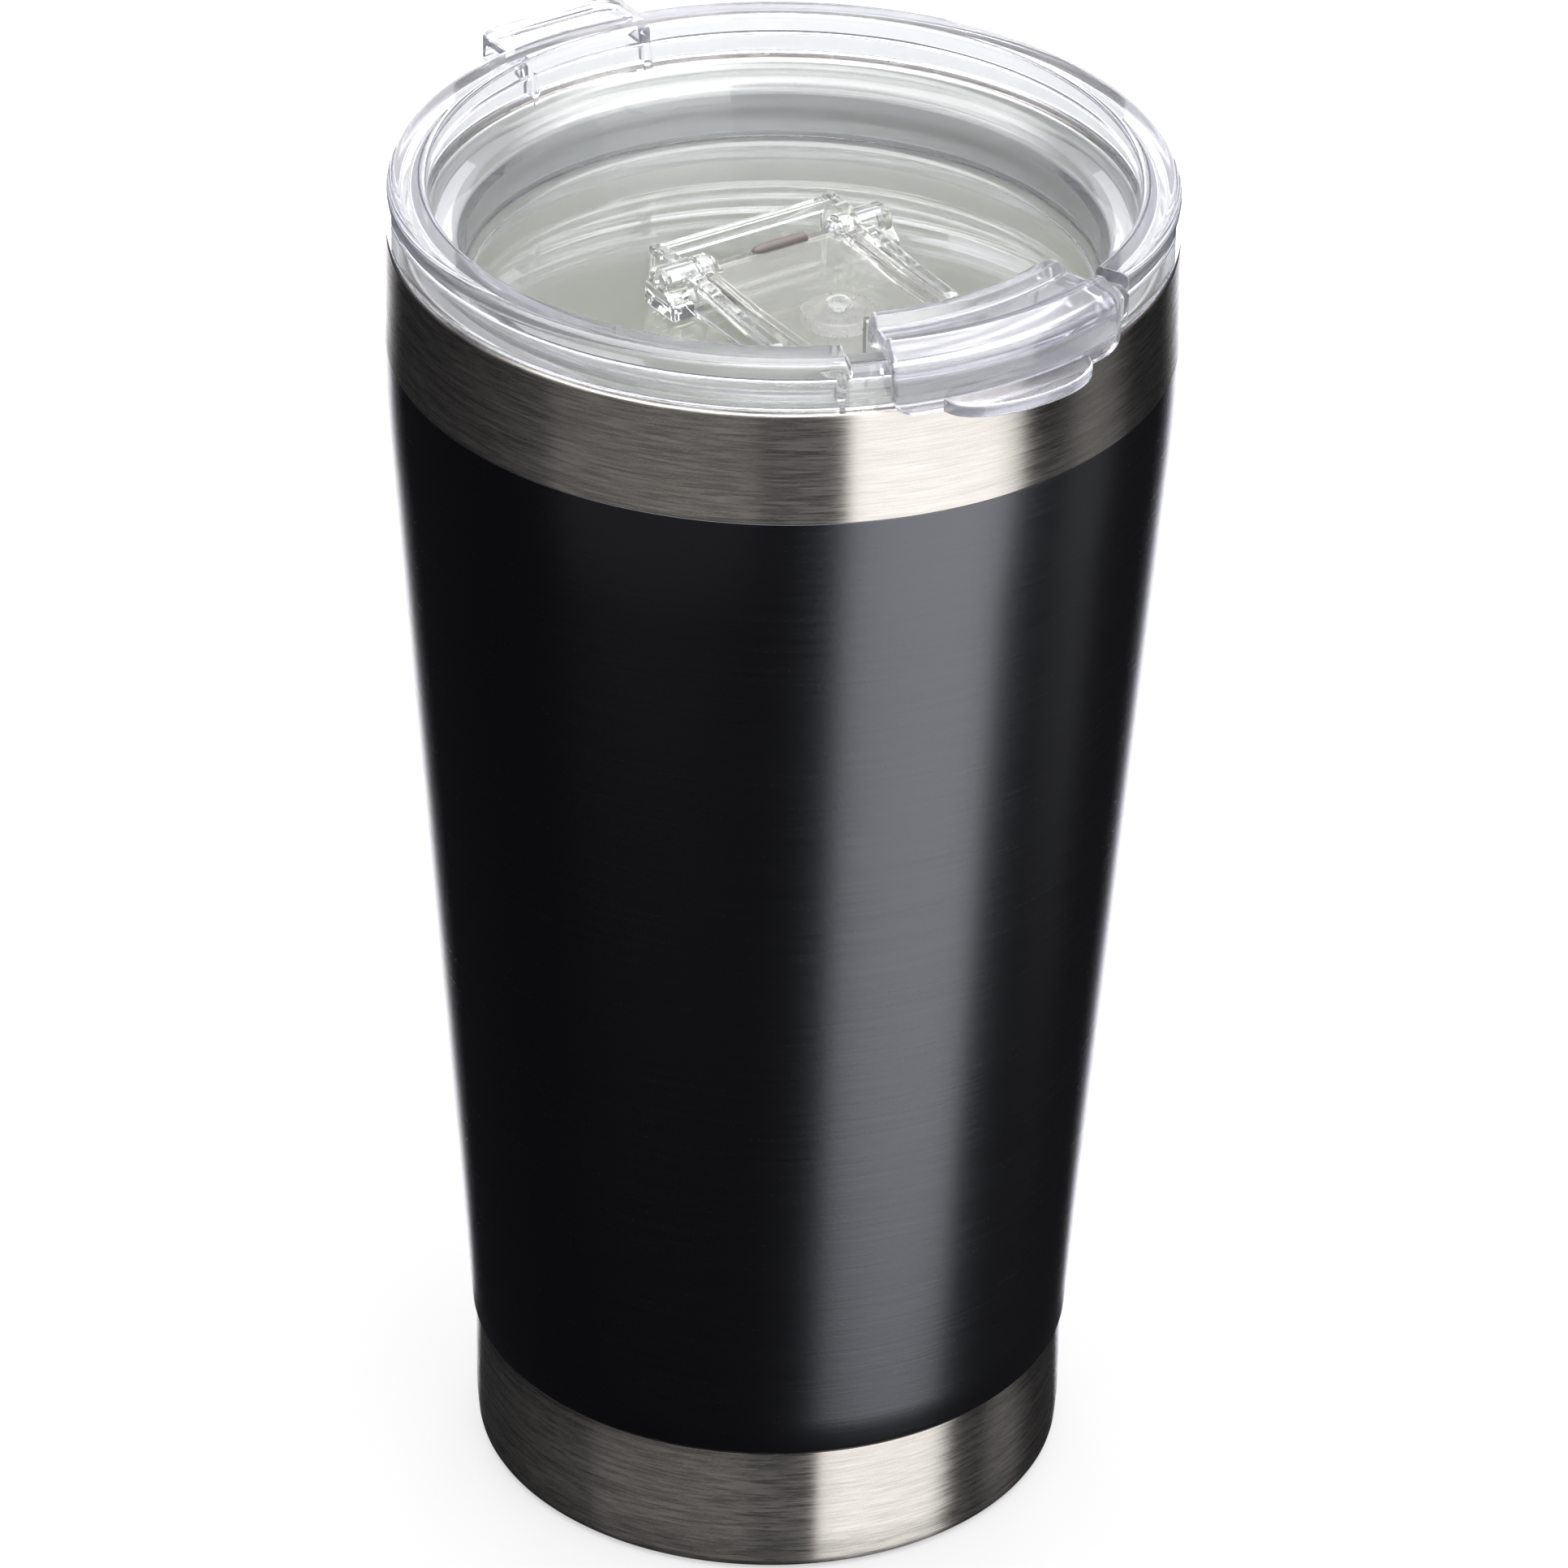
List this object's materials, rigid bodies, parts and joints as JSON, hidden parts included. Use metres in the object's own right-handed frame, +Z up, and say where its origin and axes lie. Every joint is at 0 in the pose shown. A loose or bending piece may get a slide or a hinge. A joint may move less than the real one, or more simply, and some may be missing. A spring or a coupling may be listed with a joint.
{
  "type": "insulated tumbler with lid",
  "caption": "Tapered double-walled steel drinking cup with a satin black coat, a clear press-in lid and a flip-up flap that hooks over the rim.",
  "frame": {"origin": "centre of the base, on the surface that the cup stands on", "axes": "+Z up along the cup's centre line, -Y towards the flap's clip and the drink hole, +Y towards the lid's lift tab, X along the flap's hinge"},
  "size_m": [0.088, 0.0992, 0.1652],
  "materials": {
    "brushed_steel_shell": "stainless steel, brushed round the body",
    "black_coat": "satin black powder coat",
    "liner_steel": "stainless steel, satin electropolished inside",
    "plate_steel": "plain pressed stainless steel",
    "solder_glass": "glossy fused solder glass",
    "getter_metal": "sintered grey metal",
    "brushed_steel_base": "stainless steel, brushed round the base",
    "clear_plastic_lid": "clear polished moulded plastic",
    "clear_silicone": "translucent silicone",
    "clear_plastic_hinge": "clear moulded plastic",
    "clear_plastic_pin": "clear moulded plastic",
    "clear_plastic_arm": "clear moulded plastic with a faint haze",
    "milky_plastic_clip": "milky translucent moulded plastic",
    "white_silicone": "milky silicone"
  },
  "bodies": {
    "cup": {"outer_shell": "brushed_steel_shell", "black_coating": "black_coat", "inner_liner": "liner_steel", "bottom_plate": "plate_steel", "vacuum_seal": "solder_glass", "getter_pellet": "getter_metal", "base_cup": "brushed_steel_base"},
    "lid": {"lid_body": "clear_plastic_lid", "lid_gasket": "clear_silicone", "hinge_frame": "clear_plastic_hinge", "hinge_pin_left": "clear_plastic_pin", "hinge_pin_right": "clear_plastic_pin"},
    "flap": {"flap_arm": "clear_plastic_arm", "flap_clip": "milky_plastic_clip", "drink_seal": "white_silicone", "vent_plug": "white_silicone"}
  },
  "joints": [
    {"name": "lid_lift", "type": "slide", "parent": "cup", "child": "lid", "axis": [0, 0, 1], "range_m": [0, 0.03]},
    {"name": "flap_hinge", "type": "hinge", "parent": "lid", "child": "flap", "pos_m": [0, 0.0024, 0.1529], "axis": [-1, 0, 0], "range_deg": [0, 145]}
  ]
}
